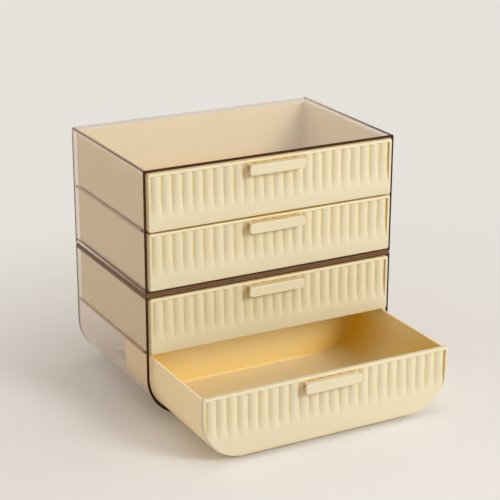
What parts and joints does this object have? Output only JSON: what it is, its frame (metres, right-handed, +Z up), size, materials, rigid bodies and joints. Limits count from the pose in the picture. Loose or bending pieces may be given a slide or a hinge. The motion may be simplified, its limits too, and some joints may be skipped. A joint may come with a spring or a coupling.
{
  "type": "cosmetic organizer",
  "caption": "Desktop cosmetic organizer: two stacked tinted clear cases, open at the front, with reeded drawers on bar pulls that slide out; the lower case has round bottom corners.",
  "frame": {"origin": "middle of the flat face that the lower case stands on", "axes": "+Z up, the drawers open towards -Y, +X to the right seen from the front"},
  "size_m": [0.24, 0.2583, 0.2228],
  "materials": {
    "tinted_acrylic": "clear sheet with a light tea-brown tint, polished",
    "cream_plastic": "satin moulded",
    "screw_steel": "zinc plated"
  },
  "bodies": {
    "case": {"upper_case": "tinted_acrylic", "upper_back_panel": "tinted_acrylic", "upper_left_runner": "tinted_acrylic", "upper_right_runner": "tinted_acrylic", "lower_case": "tinted_acrylic", "lower_back_panel": "tinted_acrylic", "lower_left_runner": "tinted_acrylic", "lower_right_runner": "tinted_acrylic"},
    "top_drawer": {"top_drawer_tray": "cream_plastic", "top_drawer_front": "cream_plastic", "top_drawer_handle": "cream_plastic", "top_drawer_screws": "screw_steel"},
    "second_drawer": {"second_drawer_tray": "cream_plastic", "second_drawer_front": "cream_plastic", "second_drawer_handle": "cream_plastic", "second_drawer_screws": "screw_steel"},
    "third_drawer": {"third_drawer_tray": "cream_plastic", "third_drawer_front": "cream_plastic", "third_drawer_handle": "cream_plastic", "third_drawer_screws": "screw_steel"},
    "bottom_drawer": {"bottom_drawer_tray": "cream_plastic", "bottom_drawer_front": "cream_plastic", "bottom_drawer_handle": "cream_plastic", "bottom_drawer_screws": "screw_steel"}
  },
  "joints": [
    {"name": "top_drawer_slide", "type": "slide", "parent": "case", "child": "top_drawer", "axis": [0, -1, 0], "range_m": [0, 0.12]},
    {"name": "second_drawer_slide", "type": "slide", "parent": "case", "child": "second_drawer", "axis": [0, -1, 0], "range_m": [0, 0.12]},
    {"name": "third_drawer_slide", "type": "slide", "parent": "case", "child": "third_drawer", "axis": [0, -1, 0], "range_m": [0, 0.12]},
    {"name": "bottom_drawer_slide", "type": "slide", "parent": "case", "child": "bottom_drawer", "axis": [0, -1, 0], "range_m": [-0.097, 0.023]}
  ]
}
